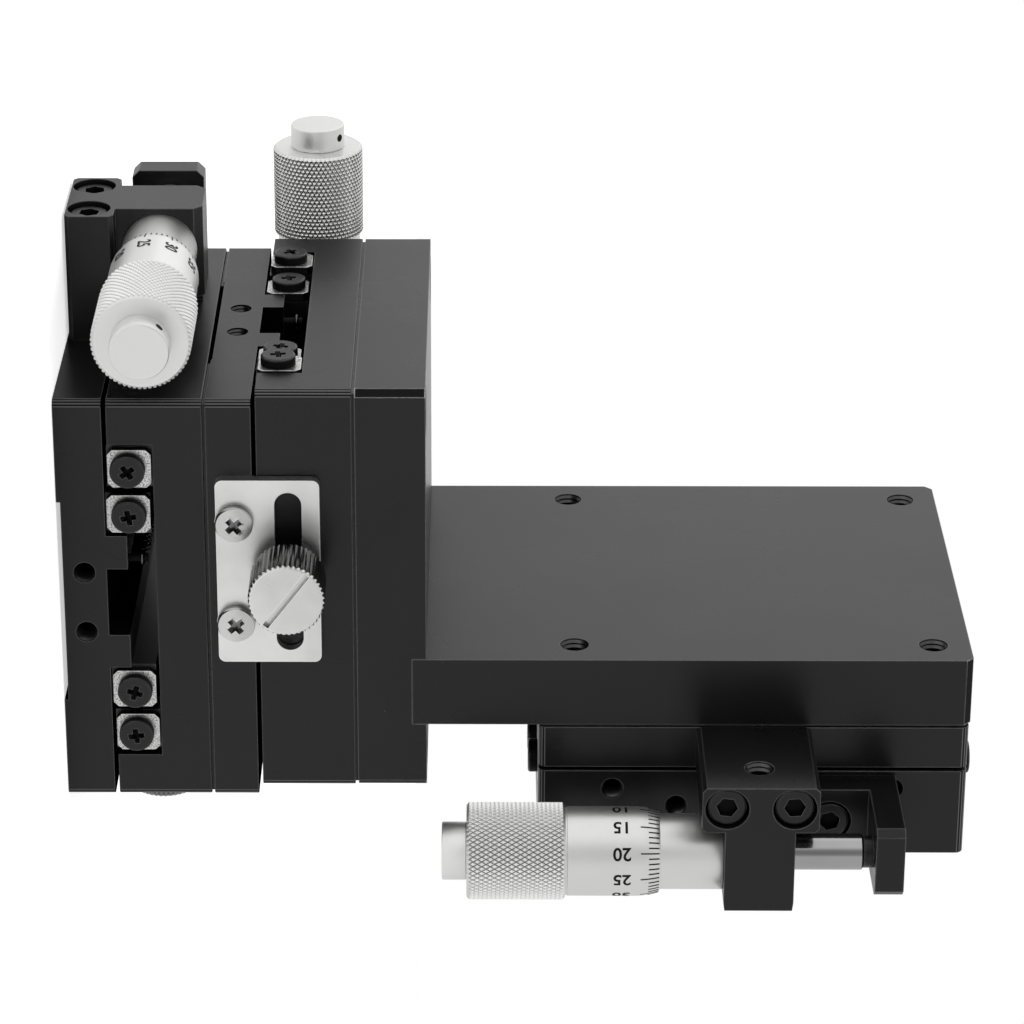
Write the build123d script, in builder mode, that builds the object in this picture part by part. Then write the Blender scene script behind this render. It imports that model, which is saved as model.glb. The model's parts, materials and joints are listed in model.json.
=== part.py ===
from build123d import *
import math
import os

# Three-axis linear translation stage, upright on its base plate.
# One crossed-roller stage module is used three times: y (bottom), x (on it), z (under the arm).
# World frame: +Z up, origin at the centre of the base plate's bottom face.
# Module frame: x along the travel towards the thimble, y away from the micrometer side,
# z from the base plate to the slide plate.

# ---- driving sizes (mm) ----
plate_length = 60.0         # along the travel
plate_width = 60.0          # across the travel
base_thickness = 6.6
plate_gap = 0.6
slide_thickness = 13.0
corner_radius = 1.1
x_axis_offset = 1.5         # rest position of the x slide away from mid travel

leg_thickness = 10.0
arm_thickness = 10.0
arm_length = 77.8
arm_notch = 2.0             # how deep the arm sits in the leg
arm_height = 9.8            # arm's lower face above the leg's lower edge
leg_width = plate_width
seam_height = 0.4           # step around the lower edge of a plate that sits on another
seam_depth = 0.6
z_stage_inset = 0.2         # z stage's outer edge behind the arm's end

mount_spacing = 50.0        # M4 pattern of every face
m4_thread = 4.0
m4_clear = 4.3              # the stages bolted to each other
m4_table = 4.8              # the bottom plate, with room to line it up on a table
m4_tap = 3.3                # tapped holes left free for the user
m4_head = 7.0
m4_head_height = 4.0
m3_thread = 3.0
m3_clear = 3.4
m3_head = 5.5
m3_head_height = 3.0
head_clearance = 0.25       # radial room around a screw head

# ---- clearances ----
running_fit = 0.05          # radial, spindle and thimble
hub_fit = 0.03              # radial, thimble hub on the spindle stub
roller_fit = 0.03           # roller to groove face
end_touch = 0.02            # spindle end to the anvil's pad

# ---- roller ways ----
rail_inner = 10.0           # inner rail, from the centre line
rail_mid = 16.5             # roller axis line
rail_gap = 1.0              # between the two rails
rail_outer = 23.0
roller_diameter = 2.0
roller_pitch = 5.0
roller_count = 7
cage_thickness = 0.5
stop_thickness = 1.2
rail_half = plate_length / 2 - stop_thickness       # rails end here, the stops close the ends
base_stop_y = 13.3
slide_stop_y = 20.0
channel_half = 23.5         # half width of the slide's channel
channel_depth = 6.1
ridge_height = 2.9
notch_half = 5.0

# ---- micrometer head ----
axis_z = 13.2               # spindle axis above the base plate's outer face
axis_out = 12.4             # spindle axis out from the plates' side
spindle_diameter = 5.0
stem_diameter = 9.5         # held in the bracket
sleeve_diameter = 10.4
thimble_diameter = 12.3
thimble_edge_diameter = 11.2
knurl_diameter = 13.4
cap_diameter = 8.0
bracket_half = 4.8
bracket_reach = 18.4
thimble_start = 13.5
taper_length = 3.0
knurl_start = 26.4
knurl_end = 40.0
cap_length = 3.4
hub_start = 34.0
spindle_tip = -14.6

# ---- derived ----
stage_height = base_thickness + plate_gap + slide_thickness
slide_floor = base_thickness + plate_gap + channel_depth      # channel's ceiling height
slide_top = stage_height
half = plate_length / 2
side = -plate_width / 2                                        # micrometer side, module y
axis_y = side - axis_out
groove_z = base_thickness + 3.35
finger_face = spindle_tip - 1.4
sleeve_end = 27.0
stub_diameter = 4.0

# ---- bracket, anvil, lock, spring ----
bracket_foot_half = 8.0
bracket_foot_z0 = 0.3
bracket_foot = 6.8
bracket_top_z = 19.2
bracket_undercut = 5.2      # the slide's anvil passes under the bracket's arm
anvil_base = 4.5
anvil_reach = 16.7
anvil_z0, anvil_z1 = 7.8, 18.1
lock_length = 27.3
lock_z0, lock_z1 = 1.6, 15.8
lock_thickness = 1.8
lock_slot_length = 23.6
lock_slot_width = 3.7
lock_screw_z = 4.15
knob_diameter = 10.4
knob_length = 9.35
neck_diameter = 8.2         # the knob's neck clears the lock plate's screw heads
neck_length = 1.6
spring_y = -5.7
spring_z = base_thickness + 4.75
spring_radius = 1.1
spring_wire = 0.25
pin_base_x = 27.5
pin_slide_x = -16.0
pin_radius = 0.6
eye_radius = 1.0

os.makedirs("parts", exist_ok=True)


def block(x0, x1, y0, y1, z0, z1, mode=Mode.ADD):
    """A box between two corners."""
    with Locations(((x0 + x1) / 2, (y0 + y1) / 2, (z0 + z1) / 2)):
        Box(x1 - x0, y1 - y0, z1 - z0, mode=mode)


def rod(start, direction, radius, length, mode=Mode.ADD):
    """A cylinder from a point along a direction."""
    with Locations(Plane(origin=start, z_dir=direction)):
        Cylinder(radius, length, align=(Align.CENTER, Align.CENTER, Align.MIN), mode=mode)


def point(start, direction, distance):
    """The point a distance along a direction."""
    return tuple(s + d * distance for s, d in zip(start, direction))


def screw(head_top, direction, head, head_height, thread, length):
    """Cylinder head screw, from the top of its head along its axis."""
    with BuildPart() as body:
        rod(head_top, direction, head / 2, head_height)
        rod(point(head_top, direction, head_height - 0.3), direction, thread / 2, length + 0.3)
    return body.part


def set_screw(start, direction, thread, length):
    """Headless clamping screw."""
    with BuildPart() as body:
        rod(start, direction, thread / 2, length)
    return body.part


# ---- plates ----
def corners(pitch):
    return [(sx * pitch / 2, sy * pitch / 2) for sx in (-1, 1) for sy in (-1, 1)]


lock_x = 5.45               # middle of the lock plate
lock_pitch = 15.0
lock_knob_x = 4.1
lock_z = 11.5
screw_z = 3.5               # side screws in the base plate
bracket_screw_x = 4.6
anvil_screw_x = -10.6
anvil_screw_z = 12.7


def base_plate(bolt_hole, seam):
    with BuildPart() as plate:
        block(-half, half, side, -side, seam, base_thickness)
        fillet(plate.edges().filter_by(Axis.Z), corner_radius)
        if seam:
            block(seam_depth - half, half - seam_depth, side + seam_depth, -side - seam_depth, 0, seam)
        block(-half, half, -rail_inner, rail_inner, base_thickness, base_thickness + ridge_height)
        block(-half, half, -notch_half, notch_half, base_thickness, base_thickness + 4, Mode.SUBTRACT)
        block(-half, half, -15, 15, 0, 0.55, Mode.SUBTRACT)
        for x, y in corners(mount_spacing):
            rod((x, y, 0), (0, 0, 1), bolt_hole / 2, base_thickness, Mode.SUBTRACT)
            rod((x, y, base_thickness), (0, 0, -1), m4_head / 2 + head_clearance, 4.4, Mode.SUBTRACT)
        for x in (-bracket_screw_x, bracket_screw_x):
            rod((x, side, screw_z), (0, 1, 0), m3_thread / 2, 6, Mode.SUBTRACT)
        for x in (lock_x - lock_pitch / 2, lock_x + lock_pitch / 2):
            rod((x, -side, lock_screw_z), (0, -1, 0), 1.25, 5, Mode.SUBTRACT)
        for y in (-4.5, 4.5):
            for s in (-1, 1):
                rod((s * half, y, screw_z), (-s, 0, 0), m3_thread / 2, 8, Mode.SUBTRACT)
        rod((pin_base_x, spring_y, base_thickness + ridge_height), (0, 0, -1), pin_radius, 4,
            Mode.SUBTRACT)
    return plate.part


def slide_plate(tapped_hole):
    z0 = base_thickness + plate_gap
    with BuildPart() as plate:
        block(-half, half, side, -side, z0, slide_top)
        fillet(plate.edges().filter_by(Axis.Z), corner_radius)
        block(-half, half, -channel_half, channel_half, z0, slide_floor, Mode.SUBTRACT)
        for x, y in corners(mount_spacing):
            rod((x, y, slide_top), (0, 0, -1), tapped_hole / 2, 6, Mode.SUBTRACT)
        for x, z in ((-19.6, 10.0), (19.6, 10.0), (anvil_screw_x, anvil_screw_z),
                     (-anvil_screw_x, anvil_screw_z)):
            rod((x, side, z), (0, 1, 0), m3_thread / 2, 5.6, Mode.SUBTRACT)
        rod((lock_knob_x, -side, lock_z), (0, -1, 0), m3_thread / 2 + 0.04, 5.6, Mode.SUBTRACT)
        rod((pin_slide_x, spring_y, slide_floor), (0, 0, 1), pin_radius, 4, Mode.SUBTRACT)
    return plate.part


# ---- roller ways ----
groove_half = (roller_diameter + 2 * roller_fit) / 2 * math.sqrt(2)


def make_rail(y_near, y_far, z0, z1, sign):
    """Rail with a V groove on its near face; sign mirrors it across the centre line."""
    open_half = groove_half - rail_gap / 2
    dy = 1 if y_far > y_near else -1
    pts = [(y_near, z0), (y_far, z0), (y_far, z1), (y_near, z1), (y_near, groove_z + open_half),
           (y_near + dy * open_half, groove_z), (y_near, groove_z - open_half)]
    with BuildPart() as rail:
        with BuildSketch(Plane(origin=(-rail_half, 0, 0), x_dir=(0, 1, 0), z_dir=(1, 0, 0))):
            Polygon(*[(sign * y, z) for y, z in pts], align=None)
        extrude(amount=2 * rail_half)
    return rail.part


def base_rails():
    return [make_rail(rail_mid - rail_gap / 2, rail_inner, base_thickness, slide_floor - 0.5, sign)
            for sign in (-1, 1)]


def slide_rails():
    return [make_rail(rail_mid + rail_gap / 2, rail_outer, base_thickness + 0.4, slide_floor, sign)
            for sign in (-1, 1)]


def stop_plates(y0, y1, z0, z1):
    """Square plates that close both ends of both rails."""
    plates = []
    for s in (-1, 1):
        for sign in (-1, 1):
            x = s * (rail_half + stop_thickness / 2)
            with BuildPart() as plate:
                with Locations((x, sign * (y0 + y1) / 2, (z0 + z1) / 2)):
                    Box(stop_thickness, y1 - y0, z1 - z0)
                chamfer(plate.edges().filter_by(Axis.X), 0.7)
            plates.append(plate.part)
    return plates


def stop_screws(y_mid):
    """Heads of the screws that hold the stops to the rail ends."""
    heads = []
    for s in (-1, 1):
        for sign in (-1, 1):
            with BuildPart() as head:
                rod((s * half, sign * y_mid, groove_z), (s, 0, 0), 2.4, 1.4)
            heads.append(head.part)
    return heads


def base_stops():
    return stop_plates(base_stop_y - 2.8, base_stop_y + 2.8, base_thickness + 0.25, slide_floor - 0.45)


def slide_stops():
    return stop_plates(slide_stop_y - 2.8, slide_stop_y + 2.8, base_thickness + 0.55, slide_floor - 0.15)


def roller_rows():
    step = [(i - (roller_count - 1) / 2) * roller_pitch for i in range(roller_count)]
    return [(x, sign, 1 if i % 2 else -1) for sign in (-1, 1) for i, x in enumerate(step)]


def rollers():
    """Crossed rollers: neighbours lie with their axes at right angles."""
    items = []
    length = roller_diameter - 0.1
    for x, sign, lean in roller_rows():
        axis = Vector(0, 1, lean).normalized()
        centre = Vector(x, sign * rail_mid, groove_z)
        with BuildPart() as roller:
            rod(tuple(centre - axis * (length / 2)), tuple(axis), roller_diameter / 2, length)
        items.append(roller.part)
    return items


def cages():
    items = []
    reach = (roller_count - 1) / 2 * roller_pitch + 2.2
    for sign in (-1, 1):
        y = sign * rail_mid
        with BuildPart() as cage:
            block(-reach, reach, y - cage_thickness / 2, y + cage_thickness / 2,
                  groove_z - 2.3, groove_z + 2.3)
            for x, s, _ in roller_rows():
                if s == sign:
                    block(x - 1.06, x + 1.06, y - 1, y + 1, groove_z - 1.72, groove_z + 1.72,
                          Mode.SUBTRACT)
        items.append(cage.part)
    return items


# ---- return spring ----
def return_spring(shift):
    """Extension spring from the base plate's pin to the slide plate's pin."""
    x0, x1 = pin_slide_x + shift, pin_base_x
    with BuildPart() as spring:
        rod((x0 + 2.6, spring_y, spring_z), (1, 0, 0), spring_radius, x1 - x0 - 5.2)
        rod((x0 + 2.6, spring_y, spring_z), (1, 0, 0), spring_radius - 2 * spring_wire,
            x1 - x0 - 5.2, Mode.SUBTRACT)
        for x, s in ((x0, 1), (x1, -1)):
            rod((x, spring_y, spring_z - spring_wire), (0, 0, 1), eye_radius, 2 * spring_wire)
            rod((x, spring_y, spring_z - spring_wire), (0, 0, 1), pin_radius, 2 * spring_wire,
                Mode.SUBTRACT)
            xa, xb = sorted((x + s * (eye_radius - 0.1), x + s * 3.0))
            block(xa, xb, spring_y - spring_wire, spring_y + spring_wire,
                  spring_z - spring_wire, spring_z + spring_wire)
            xa, xb = sorted((x + s * 2.6, x + s * 3.0))
            block(xa, xb, spring_y - spring_wire, spring_y + spring_wire,
                  spring_z - spring_radius + 0.2, spring_z + spring_radius - 0.2)
    return spring.part


def spring_pin(x, z0, z1):
    with BuildPart() as pin:
        rod((x, spring_y, z0), (0, 0, 1), pin_radius, z1 - z0)
    return pin.part


# ---- micrometer head ----
def bracket():
    with BuildPart() as body:
        with Locations((0, side - bracket_reach / 2, bracket_foot_z0 + bracket_foot / 2)):
            Box(2 * bracket_foot_half, bracket_reach, bracket_foot)
        chamfer(body.edges().filter_by(Axis.Y), 0.6)
        with BuildPart(mode=Mode.PRIVATE) as arm:
            block(-bracket_half, bracket_half, side - bracket_reach, side - bracket_undercut,
                  bracket_foot_z0 + 2, bracket_top_z)
            chamfer(arm.edges().filter_by(Axis.Y).group_by(Axis.Z)[-1], 1.2)
        add(arm.part)
        rod((-bracket_half, axis_y, axis_z), (1, 0, 0), stem_diameter / 2, 2 * bracket_half,
            Mode.SUBTRACT)
        for x in (-bracket_screw_x, bracket_screw_x):
            rod((x, side - bracket_reach, screw_z), (0, 1, 0), m3_clear / 2, bracket_reach,
                Mode.SUBTRACT)
            rod((x, side - bracket_reach, screw_z), (0, 1, 0), m3_head / 2 + head_clearance, 3.5,
                Mode.SUBTRACT)
        rod((0, axis_y, bracket_foot_z0), (0, 0, 1), m4_thread / 2,
            axis_z - bracket_foot_z0 - stem_diameter / 2 + 0.3, Mode.SUBTRACT)
    return body.part


def bracket_screws():
    screws = [screw((x, side - bracket_reach + 0.5, screw_z), (0, 1, 0), m3_head,
                           m3_head_height, m3_thread, bracket_reach - 3.5 + 5.5)
              for x in (-bracket_screw_x, bracket_screw_x)]
    tip = axis_z - stem_diameter / 2
    return screws + [set_screw((0, axis_y, tip - 6.0), (0, 0, 1), m4_thread, 6.0)]


def sleeve():
    with BuildPart() as body:
        rod((-bracket_half, axis_y, axis_z), (1, 0, 0), stem_diameter / 2, 2 * bracket_half)
        rod((bracket_half, axis_y, axis_z), (1, 0, 0), sleeve_diameter / 2, sleeve_end - bracket_half)
        rod((-bracket_half, axis_y, axis_z), (1, 0, 0), spindle_diameter / 2 + running_fit,
            sleeve_end + bracket_half, Mode.SUBTRACT)
    return body.part


def spindle():
    with BuildPart() as body:
        rod((spindle_tip, axis_y, axis_z), (1, 0, 0), spindle_diameter / 2,
            hub_start - running_fit - spindle_tip)
        rod((hub_start - 2, axis_y, axis_z), (1, 0, 0), stub_diameter / 2, knurl_end - 0.4 - hub_start + 2)
    return body.part


def thimble():
    bore = sleeve_diameter / 2 + running_fit
    hub = stub_diameter / 2 + hub_fit
    big, mid, edge = knurl_diameter / 2, thimble_diameter / 2, thimble_edge_diameter / 2
    profile = [(thimble_start, bore), (thimble_start, edge), (thimble_start + taper_length, mid),
               (knurl_start, mid), (knurl_start + 0.5, big), (knurl_end - 0.6, big), (knurl_end, big - 0.6),
               (knurl_end, hub), (hub_start, hub), (hub_start, bore)]
    with BuildPart() as body:
        with BuildSketch(Plane.XY):
            Polygon(*profile, align=None)
        revolve(axis=Axis.X)
    return Location((0, axis_y, axis_z)) * body.part


def thimble_cap():
    with BuildPart() as cap:
        rod((knurl_end, axis_y, axis_z), (1, 0, 0), cap_diameter / 2, cap_length)
        chamfer(cap.edges().filter_by(GeomType.CIRCLE).sort_by(Axis.X)[-1], 0.4)
    return cap.part


def anvil():
    with BuildPart() as body:
        block(-20, -8, side - anvil_base, side, anvil_z0, anvil_z1)
        with BuildPart(mode=Mode.PRIVATE) as finger:
            block(-20, finger_face, side - anvil_reach, side, anvil_z0, anvil_z1)
            chamfer(finger.edges().filter_by(Axis.X).group_by(Axis.Y)[0], 1.0)
        add(finger.part)
        rod((anvil_screw_x, side - anvil_base, anvil_screw_z), (0, 1, 0), m3_clear / 2, anvil_base,
            Mode.SUBTRACT)
        rod((anvil_screw_x, side - anvil_base, anvil_screw_z), (0, 1, 0),
            m3_head / 2 + head_clearance, 2.9, Mode.SUBTRACT)
    return body.part


def anvil_pad():
    with BuildPart() as pad:
        rod((finger_face, axis_y, axis_z), (1, 0, 0), 2.2, spindle_tip - finger_face - end_touch)
    return pad.part


def anvil_screw():
    return screw((anvil_screw_x, side - anvil_base - 0.1, anvil_screw_z), (0, 1, 0), m3_head - 0.3,
                        m3_head_height, m3_thread, anvil_base - 2.9 + 5.2)


# ---- travel lock ----
def lock_plate():
    y0 = -side
    with BuildPart() as plate:
        with BuildSketch(Plane(origin=(0, y0, 0), x_dir=(1, 0, 0), z_dir=(0, -1, 0))):
            with Locations((lock_x, (lock_z0 + lock_z1) / 2)):
                RectangleRounded(lock_length, lock_z1 - lock_z0, 1.0)
        extrude(amount=-lock_thickness)
        block(lock_x - lock_length, lock_x + lock_length, y0, y0 + 0.2, base_thickness + 0.3, lock_z1,
              Mode.SUBTRACT)
        with BuildSketch(Plane(origin=(0, y0, 0), x_dir=(1, 0, 0), z_dir=(0, -1, 0))):
            with Locations((lock_x, lock_z)):
                SlotOverall(lock_slot_length, lock_slot_width)
        extrude(amount=-lock_thickness, mode=Mode.SUBTRACT)
        for x in (lock_x - lock_pitch / 2, lock_x + lock_pitch / 2):
            rod((x, y0, lock_screw_z), (0, 1, 0), 1.4, lock_thickness, Mode.SUBTRACT)
    return plate.part


def lock_plate_screws():
    return [screw((x, lock_thickness + 1.6 - side, lock_screw_z), (0, -1, 0), 5.2, 1.6, 2.5,
                  lock_thickness + 4.4) for x in (lock_x - lock_pitch / 2, lock_x + lock_pitch / 2)]


def lock_knob():
    y0 = -side + lock_thickness + 0.3
    with BuildPart() as knob:
        rod((lock_knob_x, y0, lock_z), (0, 1, 0), neck_diameter / 2, knob_length - 1.5)
        rod((lock_knob_x, y0 + neck_length, lock_z), (0, 1, 0), knob_diameter / 2,
            knob_length - neck_length)
        rod((lock_knob_x, y0 + 0.5, lock_z), (0, -1, 0), m3_thread / 2, lock_thickness + 0.3 + 0.5 + 5.0)
        block(lock_knob_x - 6, lock_knob_x + 6, y0 + knob_length - 1.2, y0 + knob_length + 1,
              lock_z - 0.45, lock_z + 0.45, Mode.SUBTRACT)
    return knob.part


# ---- mounting screws ----
def mounting_screws(grip):
    """Screws in the base plate's counterbores, reaching a length past its outer face."""
    return [screw((x, y, base_thickness - 0.4), (0, 0, -1), m4_head, m4_head_height, m4_thread,
                         base_thickness - 4.4 + grip) for x, y in corners(mount_spacing)]


# ---- bracket between the x and z stages ----
leg_bottom = 2 * stage_height                 # height of the leg's inner face
leg_mid_x = -x_axis_offset
arm_x1 = leg_mid_x + leg_width / 2 - arm_height
arm_x0 = arm_x1 - arm_thickness
arm_z0 = leg_bottom + leg_thickness - arm_notch
arm_z1 = arm_z0 + arm_length
arm_screw_y = (-20.0, 0.0, 20.0)
z_stage_mid = arm_z1 - z_stage_inset - half


def bracket_leg():
    top = leg_bottom + leg_thickness
    with BuildPart() as leg:
        with BuildSketch(Plane.XY.offset(leg_bottom + seam_height)):
            with Locations((leg_mid_x, 0)):
                Rectangle(leg_width, plate_length)
        extrude(amount=leg_thickness - seam_height)
        chamfer(leg.edges().filter_by(Axis.Z), 1.0)
        block(leg_mid_x - leg_width / 2 + seam_depth, leg_mid_x + leg_width / 2 - seam_depth,
              seam_depth - half, half - seam_depth, leg_bottom, leg_bottom + seam_height)
        block(arm_x0, arm_x1, -half, half, arm_z0, top, Mode.SUBTRACT)
        for x, y in corners(mount_spacing):
            rod((leg_mid_x + x, y, leg_bottom), (0, 0, 1), m4_clear / 2, leg_thickness, Mode.SUBTRACT)
            rod((leg_mid_x + x, y, top), (0, 0, -1), m4_head / 2 + head_clearance, 4.4, Mode.SUBTRACT)
        for y in arm_screw_y:
            rod((arm_x0 + arm_thickness / 2, y, leg_bottom), (0, 0, 1), m4_clear / 2, leg_thickness,
                Mode.SUBTRACT)
            rod((arm_x0 + arm_thickness / 2, y, leg_bottom), (0, 0, 1), m4_head / 2 + head_clearance,
                4.4, Mode.SUBTRACT)
    return leg.part


def bracket_arm():
    with BuildPart() as arm:
        block(arm_x0, arm_x1, -half, half, arm_z0, arm_z1)
        chamfer(arm.edges().filter_by(Axis.X).group_by(Axis.Z)[-1], 1.0)
        for dz, y in corners(mount_spacing):
            rod((arm_x1, y, z_stage_mid + dz), (-1, 0, 0), m4_thread / 2, arm_thickness, Mode.SUBTRACT)
        for y in arm_screw_y:
            rod((arm_x0 + arm_thickness / 2, y, arm_z0), (0, 0, 1), m4_thread / 2, 9, Mode.SUBTRACT)
    return arm.part


def leg_screws():
    top = leg_bottom + leg_thickness
    return [screw((leg_mid_x + x, y, top - 0.4), (0, 0, -1), m4_head, m4_head_height, m4_thread,
                         leg_thickness - 4.4 + 5.5) for x, y in corners(mount_spacing)]


def arm_screws():
    return [screw((arm_x0 + arm_thickness / 2, y, leg_bottom + 0.4), (0, 0, 1), m4_head,
                         m4_head_height, m4_thread, leg_thickness - arm_notch - 4.4 + 8)
            for y in arm_screw_y]


# ---- placing ----
stages = {
    "y": (Plane(origin=(0, 0, 0), x_dir=(0, -1, 0), z_dir=(0, 0, 1)), 0.0),
    "x": (Plane(origin=(0, 0, stage_height), x_dir=(-1, 0, 0), z_dir=(0, 0, 1)), x_axis_offset),
    "z": (Plane(origin=(arm_x1, 0, z_stage_mid), x_dir=(0, 0, -1), z_dir=(1, 0, 0)), 0.0),
}


def placed(stage, pieces, share=0.0):
    """Pieces put on a stage; share is how much of its rest offset they carry."""
    frame, offset = stages[stage]
    pieces = pieces if isinstance(pieces, list) else [pieces]
    return [frame.location * Location((share * offset, 0, 0)) * piece for piece in pieces]


def put(label, pieces):
    """One named node; its pieces stay separate solids."""
    solids = [solid for piece in pieces for solid in piece.solids()]
    node = solids[0] if len(solids) == 1 else Compound(solids)
    node.label = label
    export_step(node, f"parts/{label}.step")


module = {name: make() for name, make in dict(
    base_rails=base_rails, slide_rails=slide_rails,
    base_stops=base_stops, slide_stops=slide_stops, roller_cages=cages, rollers=rollers,
    bracket=bracket, bracket_screws=bracket_screws, sleeve=sleeve, spindle=spindle,
    thimble=thimble, thimble_cap=thimble_cap, anvil=anvil, anvil_pad=anvil_pad,
    anvil_screw=anvil_screw, lock_plate=lock_plate, lock_plate_screws=lock_plate_screws,
    lock_knob=lock_knob).items()}
base_pin = spring_pin(pin_base_x, base_thickness + ridge_height - 4, spring_z + 0.8)
slide_pin = spring_pin(pin_slide_x, spring_z - 0.85, slide_floor + 4)

bottom_stage, load_stage = "y", "z"
for stage in stages:
    lower = base_plate(m4_table, 0) if stage == bottom_stage else base_plate(m4_clear, seam_height)
    put(f"{stage}_base_plate", placed(stage, lower))
    put(f"{stage}_slide_plate", placed(stage, slide_plate(m4_tap if stage == load_stage else m4_thread), 1))
    for name in ("base_rails", "bracket", "sleeve", "lock_plate"):
        put(f"{stage}_{name}", placed(stage, module[name]))
    for name in ("slide_rails", "lock_knob", "spindle"):
        put(f"{stage}_{name}", placed(stage, module[name], 1))
    for name in ("roller_cages", "rollers"):
        put(f"{stage}_{name}", placed(stage, module[name], 0.5))
    put(f"{stage}_thimble", placed(stage, [module["thimble"], module["thimble_cap"]], 1))
    put(f"{stage}_anvil", placed(stage, [module["anvil"], module["anvil_pad"]], 1))
    put(f"{stage}_spring", placed(stage, return_spring(stages[stage][1])))

# Fixings are grouped by the moving assembly that carries them.
base_cross = stop_screws(base_stop_y) + module["lock_plate_screws"]
slide_cross = stop_screws(slide_stop_y)
base_socket = module["bracket_screws"]
slide_socket = [module["anvil_screw"]]
groups = {"y_base": (None, "y"), "y_slide": ("y", "x"), "x_slide": ("x", "z"), "z_slide": ("z", None)}
for group, (below, above) in groups.items():
    stops, cross, socket, posts = [], [], [], []
    if below:
        stops += placed(below, module["slide_stops"], 1)
        cross += placed(below, slide_cross, 1)
        socket += placed(below, slide_socket, 1)
        posts += placed(below, slide_pin, 1)
    if above:
        stops += placed(above, module["base_stops"])
        cross += placed(above, base_cross)
        socket += placed(above, base_socket)
        posts += placed(above, base_pin)
    if group == "y_slide":
        socket += placed("x", mounting_screws(5.5))
    if group == "x_slide":
        socket += placed("z", mounting_screws(8.5)) + leg_screws() + arm_screws()
    put(f"{group}_stops", stops)
    put(f"{group}_cross_screws", cross)
    put(f"{group}_socket_screws", socket)
    put(f"{group}_spring_pins", posts)

put("bracket_leg", [bracket_leg()])
put("bracket_arm", [bracket_arm()])
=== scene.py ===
"""Visual model of the three-axis linear translation stage: finishes, fine detail, light and camera."""
import json
import math

import bmesh
import bpy
from mathutils import Matrix, Vector


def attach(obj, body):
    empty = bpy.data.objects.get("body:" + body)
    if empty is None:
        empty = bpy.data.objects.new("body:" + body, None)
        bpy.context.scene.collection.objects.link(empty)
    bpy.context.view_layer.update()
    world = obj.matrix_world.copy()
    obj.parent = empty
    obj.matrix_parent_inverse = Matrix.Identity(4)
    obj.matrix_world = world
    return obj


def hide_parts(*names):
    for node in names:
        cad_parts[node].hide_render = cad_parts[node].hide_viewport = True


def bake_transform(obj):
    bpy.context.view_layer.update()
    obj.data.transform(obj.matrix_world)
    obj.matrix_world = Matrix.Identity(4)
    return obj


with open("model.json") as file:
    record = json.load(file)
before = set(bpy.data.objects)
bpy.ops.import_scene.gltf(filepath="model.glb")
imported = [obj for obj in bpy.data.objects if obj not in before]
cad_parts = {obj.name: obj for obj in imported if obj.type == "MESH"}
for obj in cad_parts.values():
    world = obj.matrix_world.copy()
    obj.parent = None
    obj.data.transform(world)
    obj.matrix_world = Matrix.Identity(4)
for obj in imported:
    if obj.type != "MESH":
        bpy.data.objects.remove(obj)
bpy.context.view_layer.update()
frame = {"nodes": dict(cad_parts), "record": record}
nodes = frame["nodes"]
body_of_node = {n: b for b, ns in frame["record"]["behaviour"]["bodies"].items() for n in ns}

# ---- sizes shared with the solid model (mm) ----
HALF = 30.0
STAGE = 20.2
SIDE = -30.0                 # micrometer side of a stage, module y
AXIS_Y, AXIS_Z = -42.4, 13.2
GROOVE_Z = 9.95
ARM_FACE = 18.7
Z_MID = 96.0
X_OFFSET = 1.5
LOCK_X, LOCK_Z, LOCK_SCREW_Z, LOCK_KNOB_X = 5.45, 11.5, 4.15, 4.1
LOCK_FACE, LOCK_SCREW_APART = 2.1, 7.5       # plate's outer face past the stage, screws from its middle
BRACKET_DEPTH, FLANGE = 18.4, 3.5
BASE_STOP_Y, SLIDE_STOP_Y = 13.3, 20.0
BOLTS = (-25, 25)                            # square pattern of the bolt holes
SPRING_Y, SPRING_Z, PIN_SLIDE_X, PIN_BASE_X = -5.7, 11.35, -16.0, 27.5

MM = Matrix.Scale(0.001, 4)


def axes(x, y, z, origin):
    """Matrix of a stage module: its x, y and z directions and its origin, in mm."""
    m = Matrix((x, y, z)).transposed().to_4x4()
    m.translation = Vector(origin)
    return MM @ m


STAGES = {
    "y": (axes((0, -1, 0), (1, 0, 0), (0, 0, 1), (0, 0, 0)), 0.0, "y_base", "y_slide"),
    "x": (axes((-1, 0, 0), (0, -1, 0), (0, 0, 1), (0, 0, STAGE)), X_OFFSET, "y_slide", "x_slide"),
    "z": (axes((0, 0, -1), (0, 1, 0), (1, 0, 0), (ARM_FACE, 0, Z_MID)), 0.0, "x_slide", "z_slide"),
}
WORLD = MM


# ---- node groups ----
def group(name, inputs, outputs):
    tree = bpy.data.node_groups.new(name, "ShaderNodeTree")
    for label, kind, value in inputs:
        sock = tree.interface.new_socket(label, in_out="INPUT", socket_type=kind)
        if value is not None:
            sock.default_value = value
    for label, kind in outputs:
        tree.interface.new_socket(label, in_out="OUTPUT", socket_type=kind)
    return tree, tree.nodes.new("NodeGroupInput"), tree.nodes.new("NodeGroupOutput")


def link(tree, a, b):
    tree.links.new(a, b)


def math_node(tree, op, a, b=None, clamp=False):
    node = tree.nodes.new("ShaderNodeMath")
    node.operation = op
    node.use_clamp = clamp
    for i, v in enumerate((a, b)):
        if v is None:
            continue
        if isinstance(v, (int, float)):
            node.inputs[i].default_value = v
        else:
            link(tree, v, node.inputs[i])
    return node.outputs[0]


F, V = "NodeSocketFloat", "NodeSocketVector"


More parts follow.
